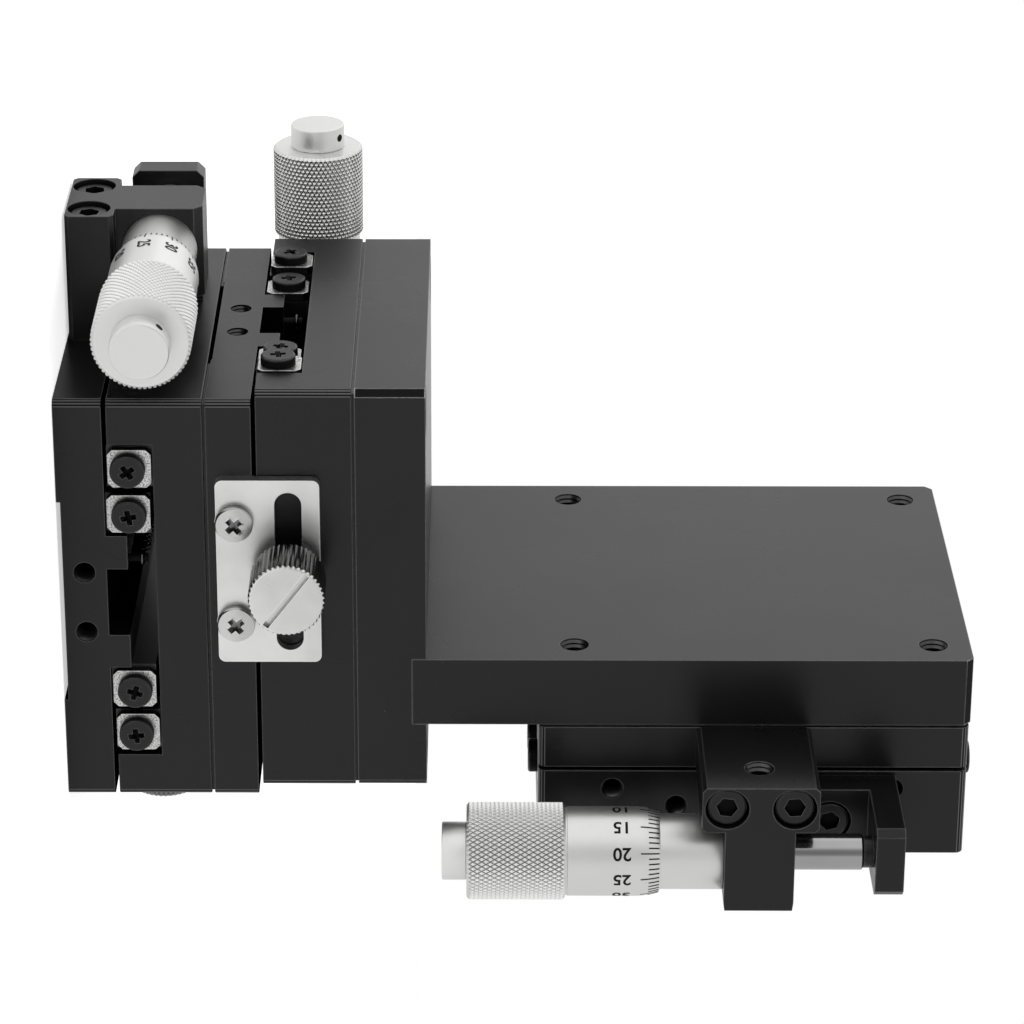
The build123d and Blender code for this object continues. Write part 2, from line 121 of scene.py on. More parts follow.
def make_grain():
    """Fine blasted grain with a slower cloudiness under it."""
    tree, gin, gout = group("blasted_grain", [("Vector", V, None), ("Fine", F, 9000.0), ("Cloud", F, 60.0)],
                            [("Grain", F), ("Clouds", F)])
    fine = tree.nodes.new("ShaderNodeTexNoise")
    fine.inputs["Detail"].default_value = 2.0
    cloud = tree.nodes.new("ShaderNodeTexNoise")
    cloud.inputs["Detail"].default_value = 3.0
    for node, scale in ((fine, "Fine"), (cloud, "Cloud")):
        link(tree, gin.outputs["Vector"], node.inputs["Vector"])
        link(tree, gin.outputs[scale], node.inputs["Scale"])
    link(tree, fine.outputs["Fac"], gout.inputs["Grain"])
    link(tree, cloud.outputs["Fac"], gout.inputs["Clouds"])
    return tree


def make_edges():
    """Mask of the lighter line along a part's edges: partly wear, partly a painted highlight where edges
    catch light.
    """
    tree, gin, gout = group("edge_wear_and_glint", [("Radius", F, 0.00025), ("Vector", V, None)], [("Mask", F)])
    bevel = tree.nodes.new("ShaderNodeBevel")
    bevel.samples = 6
    geo = tree.nodes.new("ShaderNodeNewGeometry")
    dot = tree.nodes.new("ShaderNodeVectorMath")
    dot.operation = "DOT_PRODUCT"
    link(tree, gin.outputs["Radius"], bevel.inputs["Radius"])
    link(tree, bevel.outputs["Normal"], dot.inputs[0])
    link(tree, geo.outputs["Normal"], dot.inputs[1])
    edge = math_node(tree, "SUBTRACT", 1.0, dot.outputs["Value"])
    edge = math_node(tree, "MULTIPLY", edge, 9.0, clamp=True)
    noise = tree.nodes.new("ShaderNodeTexNoise")
    noise.inputs["Scale"].default_value = 900.0
    link(tree, gin.outputs["Vector"], noise.inputs["Vector"])
    worn_and_glint = math_node(tree, "MULTIPLY", edge, math_node(tree, "ADD", noise.outputs["Fac"], 0.45), clamp=True)
    link(tree, worn_and_glint, gout.inputs["Mask"])
    return tree


def make_strokes():
    """Tool marks: fine parallel lines that run along one axis."""
    tree, gin, gout = group("tool_marks", [("Vector", V, None), ("Stretch", V, (1.0, 1.0, 1.0)),
                                           ("Scale", F, 3000.0)], [("Marks", F)])
    scale = tree.nodes.new("ShaderNodeVectorMath")
    scale.operation = "MULTIPLY"
    link(tree, gin.outputs["Vector"], scale.inputs[0])
    link(tree, gin.outputs["Stretch"], scale.inputs[1])
    noise = tree.nodes.new("ShaderNodeTexNoise")
    noise.inputs["Detail"].default_value = 4.0
    noise.inputs["Roughness"].default_value = 0.6
    link(tree, scale.outputs[0], noise.inputs["Vector"])
    link(tree, gin.outputs["Scale"], noise.inputs["Scale"])
    link(tree, noise.outputs["Fac"], gout.inputs["Marks"])
    return tree


def make_corner_lines():
    """Fine lines along a plate's rounded corners: cutter marks, painted bright as highlights."""
    tree, gin, gout = group("corner_cutter_glints", [("Normal", V, None)], [("Lines", F)])
    split = tree.nodes.new("ShaderNodeSeparateXYZ")
    link(tree, gin.outputs["Normal"], split.inputs[0])
    x, y, z = (math_node(tree, "ABSOLUTE", split.outputs[i]) for i in range(3))
    angle = math_node(tree, "ARCTAN2", math_node(tree, "MAXIMUM", x, z), y)
    fine = math_node(tree, "SINE", math_node(tree, "MULTIPLY", angle, 8.0))
    link(tree, math_node(tree, "POWER", math_node(tree, "ABSOLUTE", fine), 7.0), gout.inputs["Lines"])
    return tree


def make_specks():
    """Few tiny bright specks: lint and nicks."""
    tree, gin, gout = group("bright_specks", [("Vector", V, None), ("Scale", F, 420.0), ("Amount", F, 0.10)],
                            [("Specks", F)])
    cells = tree.nodes.new("ShaderNodeTexVoronoi")
    link(tree, gin.outputs["Vector"], cells.inputs["Vector"])
    link(tree, gin.outputs["Scale"], cells.inputs["Scale"])
    split = tree.nodes.new("ShaderNodeSeparateColor")
    link(tree, cells.outputs["Color"], split.inputs[0])
    rare = math_node(tree, "LESS_THAN", split.outputs[0], gin.outputs["Amount"])
    distance = math_node(tree, "MULTIPLY", cells.outputs["Distance"], 22.0)
    near = math_node(tree, "SUBTRACT", 1.0, distance, clamp=True)
    link(tree, math_node(tree, "MULTIPLY", rare, near), gout.inputs["Specks"])
    return tree


GRAIN, EDGE_WEAR_AND_GLINT, STROKES = make_grain(), make_edges(), make_strokes()
CORNER_GLINTS, SPECKS = make_corner_lines(), make_specks()


def use_group(tree, which, **values):
    node = tree.nodes.new("ShaderNodeGroup")
    node.node_tree = which
    for key, value in values.items():
        sock = node.inputs[key]
        if hasattr(value, "is_output"):
            link(tree, value, sock)
        else:
            sock.default_value = value
    return node


def spread(tree, value, low, high, frm=(0.3, 0.7)):
    """Maps a 0 to 1 pattern to a range of values."""
    node = tree.nodes.new("ShaderNodeMapRange")
    node.inputs["From Min"].default_value, node.inputs["From Max"].default_value = frm
    node.inputs["To Min"].default_value = low
    node.inputs["To Max"].default_value = high
    link(tree, value, node.inputs["Value"])
    return node.outputs["Result"]


def blend_colour(tree, factor, a, b):
    """Mixes two fixed colours by a pattern."""
    node = tree.nodes.new("ShaderNodeMix")
    node.data_type = "RGBA"
    node.inputs["A"].default_value = (*a, 1)
    node.inputs["B"].default_value = (*b, 1)
    link(tree, factor, node.inputs["Factor"])
    return node.outputs["Result"]


def over(tree, mask, below, above):
    """Lays a colour over another where the mask is one."""
    node = tree.nodes.new("ShaderNodeMix")
    node.data_type = "RGBA"
    link(tree, mask, node.inputs["Factor"])
    link(tree, below, node.inputs["A"])
    node.inputs["B"].default_value = (*above, 1)
    return node.outputs["Result"]


def finish_material(name, dark, light, metallic, rough, wear_and_glint=None, wear_and_glint_radius=0.00022, grain=9000.0,
                    bump=0.00001, marks=None, specular=0.5, cutter_glint=None, groove_shade=None, speckle=None,
                    lint=False):
    """Machined surface: grain, clouds, tool marks, worn edges with a painted highlight, painted shade in
    knurl grooves and cutter lines painted bright as corner highlights, over a base colour.
    """
    mat = bpy.data.materials.new(name)
    mat.use_nodes = True
    tree = mat.node_tree
    bsdf = tree.nodes["Principled BSDF"]
    bsdf.inputs["Metallic"].default_value = metallic
    bsdf.inputs["Specular IOR Level"].default_value = specular
    coord = tree.nodes.new("ShaderNodeTexCoord").outputs["Object"]
    fine = use_group(tree, GRAIN, Vector=coord, Fine=grain, Cloud=70.0)
    colour = blend_colour(tree, spread(tree, fine.outputs["Clouds"], 0.0, 1.0), dark, light)
    height = fine.outputs["Grain"]
    roughness = spread(tree, fine.outputs["Clouds"], rough[0], rough[1])
    if marks:
        lines = use_group(tree, STROKES, Vector=coord, Stretch=marks[0], Scale=marks[1])
        height = math_node(tree, "ADD", height, math_node(tree, "MULTIPLY", lines.outputs["Marks"], marks[2]))
    if speckle:
        colour = over(tree, spread(tree, fine.outputs["Grain"], 0.0, 1.0, speckle[0]), colour, speckle[1])
    # Knurl grooves: painted shade, a darker colour where the crest attribute is low.
    if groove_shade:
        crest = tree.nodes.new("ShaderNodeAttribute")
        crest.attribute_name = "crest"
        colour = over(tree, spread(tree, crest.outputs["Fac"], 1.0, 0.0, groove_shade[0]), colour, groove_shade[1])
    # Edges: a lighter line, partly wear and partly a painted highlight.
    if wear_and_glint:
        mask = use_group(tree, EDGE_WEAR_AND_GLINT, Radius=wear_and_glint_radius, Vector=coord).outputs["Mask"]
        colour = over(tree, mask, colour, wear_and_glint)
    # Rounded corners: cutter lines painted bright, a painted highlight.
    if cutter_glint:
        normal = tree.nodes.new("ShaderNodeTexCoord").outputs["Normal"]
        lines = use_group(tree, CORNER_GLINTS, Normal=normal).outputs["Lines"]
        colour = over(tree, lines, colour, cutter_glint)
    if lint:
        colour = over(tree, use_group(tree, SPECKS, Vector=coord).outputs["Specks"], colour, (0.4, 0.4, 0.4))
    link(tree, colour, bsdf.inputs["Base Color"])
    link(tree, roughness, bsdf.inputs["Roughness"])
    bump_node = tree.nodes.new("ShaderNodeBump")
    bump_node.inputs["Distance"].default_value = bump
    bump_node.inputs["Strength"].default_value = 0.6
    link(tree, height, bump_node.inputs["Height"])
    link(tree, bump_node.outputs["Normal"], bsdf.inputs["Normal"])
    return mat


# Each wear colour below lays a lighter line on the edges: partly wear, partly a painted highlight.
ANODISED = dict(dark=(0.0030, 0.0030, 0.0032), light=(0.0044, 0.0044, 0.0046), metallic=0.0,
                rough=(0.26, 0.31), lint=True)
BLACK = finish_material("black_anodised", **ANODISED, wear_and_glint=(0.12, 0.12, 0.12), specular=0.37)
# Corner faces: cutter lines painted bright as highlights.
CORNER = finish_material("black_anodised_corner", **ANODISED, specular=0.16, cutter_glint=(0.13, 0.13, 0.13))
SAWN = finish_material("black_anodised_chamfer", (0.0020, 0.0020, 0.0020), (0.0040, 0.0040, 0.0040), 0.0,
                       (0.50, 0.60), wear_and_glint=(0.45, 0.45, 0.45), wear_and_glint_radius=0.0003, bump=0.00004, specular=0.10)
CHROME = finish_material("satin_chrome", (0.79, 0.79, 0.78), (0.84, 0.84, 0.83), 1.0, (0.38, 0.43),
                         grain=14000.0, bump=0.000002)
# The knurl's grooves get painted shade from the crest attribute.
KNURL = finish_material("knurled_chrome", (0.90, 0.90, 0.89), (0.98, 0.98, 0.97), 1.0, (0.28, 0.34),
                        grain=14000.0, bump=0.000002, groove_shade=((0.0, 0.50), (0.24, 0.24, 0.24)))
STEEL = finish_material("ground_steel", (0.50, 0.50, 0.49), (0.62, 0.62, 0.61), 1.0, (0.30, 0.42),
                        grain=12000.0, bump=0.000006, marks=((1, 1, 1), 2500.0, 0.6))
RAIL = finish_material("dark_rail_steel", (0.060, 0.060, 0.060), (0.085, 0.085, 0.085), 1.0, (0.32, 0.42),
                       grain=9000.0, bump=0.000006, marks=((1, 1, 1), 2500.0, 0.6))
STOPS = finish_material("blasted_steel", (0.60, 0.60, 0.59), (0.80, 0.80, 0.79), 1.0, (0.30, 0.40),
                        grain=4200.0, bump=0.00002, wear_and_glint=(0.98, 0.98, 0.98), wear_and_glint_radius=0.0002,
                        speckle=((0.48, 0.62), (0.24, 0.24, 0.24)))
# Painted shade: near-black steel for the stops' narrow sides.
STOP_SIDE_SHADE = finish_material("steel_painted_shade_sides", (0.030, 0.030, 0.030), (0.045, 0.045, 0.045), 1.0, (0.40, 0.50),
                        grain=9000.0, bump=0.000006)
NICKEL = finish_material("bright_nickel", (0.66, 0.66, 0.65), (0.92, 0.92, 0.91), 1.0, (0.26, 0.36),
                         grain=12000.0, bump=0.00001, wear_and_glint=(0.98, 0.98, 0.98), marks=((1, 9, 9), 260.0, 1.2))
DULL_NICKEL = finish_material("dull_nickel", (0.54, 0.54, 0.53), (0.70, 0.70, 0.69), 1.0, (0.20, 0.30),
                              grain=12000.0, bump=0.000004, wear_and_glint=(0.92, 0.92, 0.92), wear_and_glint_radius=0.00012)
# Painted shade: a darker copy of nickel for the knob rims, slot walls, and the lock screws' recesses and
# sides.
SHADED_NICKEL = finish_material("nickel_painted_shade", (0.15, 0.15, 0.15), (0.24, 0.24, 0.24), 1.0, (0.20, 0.30),
                              grain=12000.0, bump=0.000004, wear_and_glint=(0.5, 0.5, 0.5), wear_and_glint_radius=0.0001)
SCREW_BLACK = finish_material("black_oxide", (0.004, 0.004, 0.004), (0.007, 0.007, 0.007), 0.0, (0.26, 0.36),
                              wear_and_glint=(0.20, 0.20, 0.20), wear_and_glint_radius=0.00010, specular=0.38)
# Painted shade: near-black and hardly glossy, for screw recesses and sides, the cap's pin hole and the spring
# pins.
SHADE_BLACK = finish_material("painted_shade_black", (0.003, 0.003, 0.003), (0.005, 0.005, 0.005), 0.0, (0.40, 0.50),
                         specular=0.06)
WIRE = finish_material("spring_wire", (0.10, 0.10, 0.105), (0.15, 0.15, 0.155), 1.0, (0.16, 0.24),
                       grain=12000.0, bump=0.000004)
CAGE = finish_material("cage_brass", (0.58, 0.45, 0.20), (0.70, 0.56, 0.28), 1.0, (0.30, 0.42),
                       grain=9000.0, bump=0.000006)
SPINDLE = finish_material("ground_spindle", (0.38, 0.38, 0.38), (0.46, 0.46, 0.46), 1.0, (0.10, 0.15),
                          grain=12000.0, bump=0.000002)
INK = finish_material("black_ink", (0.004, 0.004, 0.004), (0.007, 0.007, 0.007), 0.0, (0.50, 0.60),
                      grain=9000.0, bump=0.000002, specular=0.15)
# Painted shade: darker, matt black without gloss for faces deep inside a plate, where shade falls.
INSIDE_SHADE = finish_material("black_anodised_painted_shade", (0.0015, 0.0015, 0.0015), (0.0030, 0.0030, 0.0030), 0.0,
                         (0.55, 0.70), specular=0.0)
THREAD = finish_material("thread_wall", (0.06, 0.06, 0.06), (0.10, 0.10, 0.10), 1.0, (0.26, 0.34),
                         grain=9000.0, bump=0.000004)


# ---- mesh helpers ----
CORNER_REACH = 0.0012        # how far a corner's faces are from the block's sides, m
INSIDE_DEPTH = 0.0025        # faces farther in than this are inside, m
BROAD_FACE = 1.8e-5          # smallest area of a broad face, m2
CHAMFER_OUT = 0.00105        # what squares up a chamfered end, m


def publish(bm, name, matrix, mats, body, replaced=(), bevel=0.0, smooth=32.0):
    """Turns a bmesh into a piece that rides on a body, unless body is None; level faces stay flat."""
    bmesh.ops.transform(bm, matrix=matrix, verts=bm.verts)
    if matrix.determinant() < 0:
        bmesh.ops.reverse_faces(bm, faces=bm.faces)
    mesh = bpy.data.meshes.new(name)
    bm.to_mesh(mesh)
    bm.free()
    mats = mats if isinstance(mats, (list, tuple)) else [mats]
    for mat in mats:
        mesh.materials.append(mat)
    if smooth is not None:
        if "custom_normal" in mesh.attributes:
            mesh.attributes.remove(mesh.attributes["custom_normal"])
        mesh.set_sharp_from_angle(angle=math.radians(smooth))
        round_faces = [max(abs(c) for c in p.normal) < 0.9999 for p in mesh.polygons]
        mesh.polygons.foreach_set("use_smooth", round_faces)
    obj = bpy.data.objects.new(name, mesh)
    bpy.context.scene.collection.objects.link(obj)
    if bevel:
        mod = obj.modifiers.new("edges", "BEVEL")
        mod.width = bevel / 1000
        mod.segments = 2
        mod.limit_method = "ANGLE"
        mod.angle_limit = math.radians(40)
    if body:
        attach(obj, body)
    if replaced:
        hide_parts(*replaced)
    return obj


def dressed(node, mats, bevel=0.18, shape=None):
    """A copy of a CAD node, merged and with its edges broken; shape changes it or picks materials."""
    bm = bmesh.new()
    bm.from_mesh(nodes[node].data)
    bmesh.ops.remove_doubles(bm, verts=bm.verts, dist=1e-6)
    bmesh.ops.dissolve_limit(bm, angle_limit=math.radians(0.5), verts=bm.verts, edges=bm.edges,
                             delimit={"NORMAL"})
    if shape:
        shape(bm)
    publish(bm, f"{node}_skin", Matrix.Identity(4), mats, body_of_node[node], (node,), bevel=bevel)


def repaint(node, mat):
    """Gives a CAD node that stays in view a material of its own."""
    nodes[node].data.materials.clear()
    nodes[node].data.materials.append(mat)


def pick_corners(bm):
    """Second material on the slanted and rounded faces at a block's own corners."""
    lo = [min(v.co[i] for v in bm.verts) for i in range(3)]
    hi = [max(v.co[i] for v in bm.verts) for i in range(3)]
    for f in bm.faces:
        if max(abs(c) for c in f.normal) < 0.99:
            c = f.calc_center_median()
            f.material_index = sum(min(c[i] - lo[i], hi[i] - c[i]) < CORNER_REACH for i in range(3)) > 1


def pick_inside(bm):
    """As pick_corners, with a third material, a painted shade, on faces well inside the block's outline."""
    pick_corners(bm)
    lo = [min(v.co[i] for v in bm.verts) for i in range(3)]
    hi = [max(v.co[i] for v in bm.verts) for i in range(3)]
    for f in bm.faces:
        i = max(range(3), key=lambda k: abs(f.normal[k]))
        c = f.calc_center_median()[i]
        if (hi[i] - c if f.normal[i] > 0 else c - lo[i]) > INSIDE_DEPTH:
            f.material_index = 2


def pick_large(bm):
    """Second material on all but the broad faces."""
    for f in bm.faces:
        f.material_index = f.calc_area() < BROAD_FACE


def square_end(bm):
    """Carries a block's far chamfers out to a nearly square end."""
    end = max(v.co.x for v in bm.verts)
    mid = (min(v.co.z for v in bm.verts) + max(v.co.z for v in bm.verts)) / 2
    for v in bm.verts:
        if v.co.x > end - 1e-5:
            v.co.z += math.copysign(CHAMFER_OUT, v.co.z - mid)


def lathe(profile, steps=72, closed=False):
    """Spins (x, radius) points about the x axis."""
    bm = bmesh.new()
    verts = [bm.verts.new((x, r, 0)) for x, r in profile]
    edges = [bm.edges.new(pair) for pair in zip(verts, verts[1:])]
    if closed:
        edges.append(bm.edges.new((verts[-1], verts[0])))
    bmesh.ops.spin(bm, geom=verts + edges, cent=(0, 0, 0), axis=(1, 0, 0), angle=math.tau, steps=steps,
                   use_merge=True)
    bmesh.ops.remove_doubles(bm, verts=bm.verts, dist=1e-5)
    bmesh.ops.recalc_face_normals(bm, faces=bm.faces)
    return bm


def merge(target, source, matrix=None):
    """Adds one bmesh to another."""
    if matrix is not None:
        bmesh.ops.transform(source, matrix=matrix, verts=source.verts)
    mesh = bpy.data.meshes.new("part")
    source.to_mesh(mesh)
    source.free()
    target.from_mesh(mesh)
    bpy.data.meshes.remove(mesh)


def toward(point, direction, turn=0.0):
    """Matrix that takes +Z to a direction and the origin to a point."""
    rot = Vector(direction).to_track_quat("Z", "Y").to_matrix().to_4x4()
    return Matrix.Translation(point) @ rot @ Matrix.Rotation(turn, 4, "Z")


def ring(bm, segments, radius, z, scale=None):
    """Loop of points about Z; scale gives each point's share of the radius."""
    made = bmesh.ops.create_circle(bm, cap_ends=False, segments=segments, radius=radius,
                                   matrix=Matrix.Translation((0, 0, z)))["verts"]
    made.sort(key=lambda v: math.atan2(v.co.y, v.co.x) % math.tau if abs(v.co.y) > 1e-6
              else (0 if v.co.x > 0 else math.pi))
    for i, v in enumerate(made):
        r = radius * (scale[i] if scale else 1.0)
        a = math.tau * i / segments
        v.co = Vector((r * math.cos(a), r * math.sin(a), z))
    return made


def edges_of(verts):
    keep = set(verts)
    return list({e for v in verts for e in v.link_edges if e.other_vert(v) in keep})


def bridge(bm, a, b):
    bmesh.ops.bridge_loops(bm, edges=edges_of(a) + edges_of(b))


def outline(kind, segments):
    """Radii of a hexagon or a cross of size 1, one for each of the points of a full turn."""
    radii = []
    for i in range(segments):
        a = math.tau * i / segments
        if kind == "hex":
            radii.append(math.cos(math.pi / 6) / math.cos(a % (math.pi / 3) - math.pi / 6))
        else:
            c, s, arm = max(abs(math.cos(a)), 1e-6), max(abs(math.sin(a)), 1e-6), math.tan(math.radians(20))
            radii.append(max(min(1 / c, arm / s), min(arm / c, 1 / s)))
    return radii


def headed_screw(head, height, recess, thread, length, crown=0.0, edge=0.35, washer=0.0):
    """Screw along -Z from z = height (top) to below the seat at 0; recess is 'hex' or 'cross'."""
    bm = bmesh.new()
    r = head / 2
    top = height + crown
    segments = 36 if recess == "hex" else 72
    size, floor, depth = (head * 0.28, 1.0, 1.0) if recess == "hex" else (head * 0.235, 0.62, head * 0.2)
    shape = outline(recess, segments)
    levels = [(size * floor, top - depth, shape), (size, top, shape)]
    if crown:
        levels += [(r * t, height + crown * (1 - t ** 2.4), None) for t in (0.5, 0.65, 0.8, 0.93)]
        levels += [(r, height * 0.62, None), (r, 0.0, None)]
    else:
        levels += [(r - edge, height, None), (r - edge * 0.3, height - edge * 0.3, None),
                   (r, height - edge, None), (r, 0.0, None)]
    if washer:
        levels += [(r - 0.3, -0.02, None), (r - 0.3, -0.12, None), (r + 0.05, -0.14, None),
                   (r + 0.05, -washer, None)]
    levels += [(thread / 2, -washer, None), (thread / 2, -length - 0.01, None)]
    loops = [ring(bm, segments, radius, z, form) for radius, z, form in levels]
    for a, b in zip(loops, loops[1:]):
        for i in range(segments):
            j = (i + 1) % segments
            bm.faces.new((a[i], a[j], b[j], b[i]))
    bmesh.ops.contextual_create(bm, geom=edges_of(loops[0]))
    bmesh.ops.contextual_create(bm, geom=edges_of(loops[-1]))
    bmesh.ops.recalc_face_normals(bm, faces=bm.faces)
    # Sides and recess floor take the second material, a painted shade.
    for f in bm.faces:
        if abs(f.normal.z) < 0.3 or all(v in loops[0] for v in f.verts):
            f.material_index = 1
    return bm


def thread_liner(radius, depth, pitch):
    """Ridged wall of a tapped hole, from just under z = 0 down."""
    top = -0.25
    count = max(2, int(depth / pitch))
    profile = [(top, radius - 0.01)]
    for i in range(count):
        profile += [(top - pitch * (i + 0.5), radius - pitch * 0.4), (top - pitch * (i + 1), radius - 0.02)]
    profile += [(top - pitch * count, radius + 0.15), (top, radius + 0.15)]
    bm = lathe(profile, steps=32, closed=True)
    bmesh.ops.rotate(bm, verts=bm.verts, cent=(0, 0, 0), matrix=Matrix.Rotation(-math.pi / 2, 3, "Y"))
    return bm


def box_mm(lo, hi):
    bm = bmesh.new()
    bmesh.ops.create_cube(bm, size=1.0)
    size = Vector(hi) - Vector(lo)
    bmesh.ops.transform(bm, verts=bm.verts, matrix=Matrix.Translation((Vector(lo) + Vector(hi)) / 2)
                        @ Matrix.Diagonal((*size, 1)))
    return bm


# ---- micrometer head ----
THIMBLE_START, TAPER, KNURL_START, KNURL_END, CAP_END = 13.5, 3.0, 26.4, 40.0, 43.4
EDGE_R, BODY_R, KNURL_R, CAP_R = 5.6, 6.15, 6.7, 4.0
BORE_R, HUB_R, HUB_START = 5.25, 2.03, 34.0
KNURL_AROUND, KNURL_ROWS, KNURL_DEPTH = 240, 44, 0.26
SLEEVE_R = 5.2
MARK_LIFT, MARK_HALF = 0.014, 0.012          # middle of a mark above the metal, half its thickness
TAPER_SHAPE = ((0.0, 0.0), (0.25, 0.38), (0.5, 0.68), (0.75, 0.89), (1.0, 1.0))


def surface_radius(x):
    """Outer radius of the thimble's graduated end, a slightly full cone."""
    along = min(max((x - THIMBLE_START) / TAPER, 0), 1)
    for (a0, r0), (a1, r1) in zip(TAPER_SHAPE, TAPER_SHAPE[1:]):
        if along <= a1:
            return EDGE_R + (BODY_R - EDGE_R) * (r0 + (r1 - r0) * (along - a0) / (a1 - a0))
    return BODY_R


def thimble_mesh():
    """Graduated cone, barrel and diamond knurl; crest is 1 on a diamond's top and 0 in the grooves, and
    drives the painted shade there.
    """
    start, end = KNURL_START + 0.35, KNURL_END - 0.35
    rows = [(start + (end - start) * i / KNURL_ROWS, KNURL_R) for i in range(KNURL_ROWS + 1)]
    profile = [(THIMBLE_START, BORE_R), (THIMBLE_START, EDGE_R - 0.06), (THIMBLE_START + 0.08, EDGE_R + 0.01)]
    profile += [(THIMBLE_START + TAPER * a, EDGE_R + (BODY_R - EDGE_R) * r) for a, r in TAPER_SHAPE[1:]]
    profile += [(KNURL_START - 0.25, BODY_R), (KNURL_START - 0.15, BODY_R - 0.12),
                (KNURL_START, BODY_R - 0.12), (KNURL_START + 0.02, BODY_R + 0.05)]
    profile += rows
    profile += [(KNURL_END - 0.04, KNURL_R - 0.40), (KNURL_END, KNURL_R - 0.46), (KNURL_END, HUB_R),
                (HUB_START, HUB_R), (HUB_START, BORE_R)]
    bm = lathe(profile, steps=KNURL_AROUND, closed=True)
    pitch = (end - start) / KNURL_ROWS
    cell = {}
    crest = bm.verts.layers.float.new("crest")
    for v in bm.verts:
        v[crest] = 1.0
        r = math.hypot(v.co.y, v.co.z)
        if r > KNURL_R - 0.01:
            row = round((v.co.x - start) / pitch)
            column = round(math.atan2(v.co.z, v.co.y) / math.tau * KNURL_AROUND)
            cell[v] = (column, row)
            near = min(abs((column + way * row + 2) % 4 - 2) for way in (-1, 1)) / 2
            v[crest] = min(1, near * 1.7)
            low = KNURL_R - KNURL_DEPTH * (1 - v[crest])
            v.co.y *= low / r
            v.co.z *= low / r
    for f in list(bm.faces):
        if len(f.verts) == 4 and all(v in cell for v in f.verts):
            even = [v for v in f.verts if sum(cell[v]) % 2 == 0]
            if len(even) == 2:
                bmesh.utils.face_split(f, even[0], even[1])
    for f in bm.faces:
        if KNURL_START + 0.1 < f.calc_center_median().x < KNURL_END - 0.30 and \
                math.hypot(*f.calc_center_median().yz) > 5.9:
            f.material_index = 1
    return bm


def digits_mesh(text, height):
    """Plain numerals as a thin closed mesh in the xy plane, centred on the origin."""
    curve = bpy.data.curves.new("numerals", "FONT")
    curve.body = text
    curve.size = height * 1.38
    curve.align_x = "CENTER"
    curve.align_y = "CENTER"
    curve.extrude = MARK_HALF
    curve.resolution_u = 3
    curve.offset = 0.05
    obj = bpy.data.objects.new("numerals", curve)
    bpy.context.scene.collection.objects.link(obj)
    mesh = bpy.data.meshes.new_from_object(obj)
    bm = bmesh.new()
    bm.from_mesh(mesh)
    bpy.data.objects.remove(obj)
    bpy.data.curves.remove(curve)
    bpy.data.meshes.remove(mesh)
    bmesh.ops.remove_doubles(bm, verts=bm.verts, dist=1e-5)
    for i in range(-5, 6):
        bmesh.ops.bisect_plane(bm, geom=list(bm.verts) + list(bm.edges) + list(bm.faces), dist=1e-4,
                               plane_co=(0, i * height / 11, 0), plane_no=(0, 1, 0))
    return bm


def wrap(bm, x0, angle, radius_at):
    """Lays a flat mesh (x along the axis, y around it, z out) on the thimble or sleeve."""
    for v in bm.verts:
        x = x0 + v.co.x
        r = radius_at(x) + MARK_LIFT + v.co.z
        a = angle - v.co.y / radius_at(x)
        v.co = Vector((x, r * math.cos(a), r * math.sin(a)))


def flat_bar(x_size, y_size):
    """Thin bar, cut across so that it can be wrapped."""
    bm = box_mm((-x_size / 2, -y_size / 2, -MARK_HALF), (x_size / 2, y_size / 2, MARK_HALF))
    bmesh.ops.subdivide_edges(bm, edges=[e for e in bm.edges if abs((e.verts[0].co - e.verts[1].co).x) > 0.1],
                              cuts=7, use_grid_fill=True)
    return bm


def scale_marks(zero):
    """Fifty graduations around the thimble's end, numbered every five."""
    marks = bmesh.new()
    for i in range(50):
        angle = zero - math.tau * i / 50
        long = i % 5 == 0
        length = 2.55 if long else 1.45
        bar = flat_bar(length, 0.19)
        wrap(bar, THIMBLE_START + 0.12 + length / 2, angle, surface_radius)
        merge(marks, bar)
        if long:
            number = digits_mesh(str(i), 1.85)
            wrap(number, THIMBLE_START + 5.23, angle, surface_radius)
            merge(marks, number)
    return marks


def sleeve_marks():
    """Main scale: a line along the sleeve with a tick every half millimetre."""
    def radius(_):
        return SLEEVE_R

    marks = bmesh.new()
    angle = math.pi / 2
    line = flat_bar(20.5, 0.12)
    wrap(line, 5.3 + 10.25, angle, radius)
    merge(marks, line)
    for i in range(27):
        side = 1 if i % 2 == 0 else -1
        tall = 1.3 if i % 10 == 0 else 0.9
        tick = box_mm((-0.06, 0, -MARK_HALF), (0.06, tall, MARK_HALF))
        for v in tick.verts:
            v.co.y *= side
        if side < 0:
            bmesh.ops.reverse_faces(tick, faces=tick.faces)
        wrap(tick, 20.2 - i * 0.5, angle, radius)
        merge(marks, tick)
    return marks


def cap_mesh():
    """Plain cap at the thimble's outer end."""
    return lathe([(KNURL_END - 0.5, 0), (KNURL_END - 0.5, 3.1), (KNURL_END, 3.1), (KNURL_END, CAP_R - 0.15),
                  (KNURL_END + 0.15, CAP_R), (CAP_END - 0.22, CAP_R), (CAP_END - 0.05, CAP_R - 0.08),
                  (CAP_END, CAP_R - 0.22), (CAP_END, 0)], steps=72)


def spanner_hole(angle):
    """Pin hole in the side of the cap, painted near-black as shade."""
    bm = lathe([(0.02, 0), (0.02, 0.52), (0.0, 0.57), (-0.3, 0.57), (-0.3, 0)], steps=24)
    bmesh.ops.transform(bm, verts=bm.verts, matrix=Matrix.Rotation(angle, 4, "X")
                        @ Matrix.Translation((KNURL_END + 1.85, CAP_R, 0))
                        @ Matrix.Rotation(math.pi / 2, 4, "Z"))
    return bm


THIMBLE_ZERO = {"y": math.radians(10.3), "x": math.radians(270), "z": math.radians(349.1)}
CAP_HOLE = {"y": 2.4, "x": 1.0, "z": -0.35}

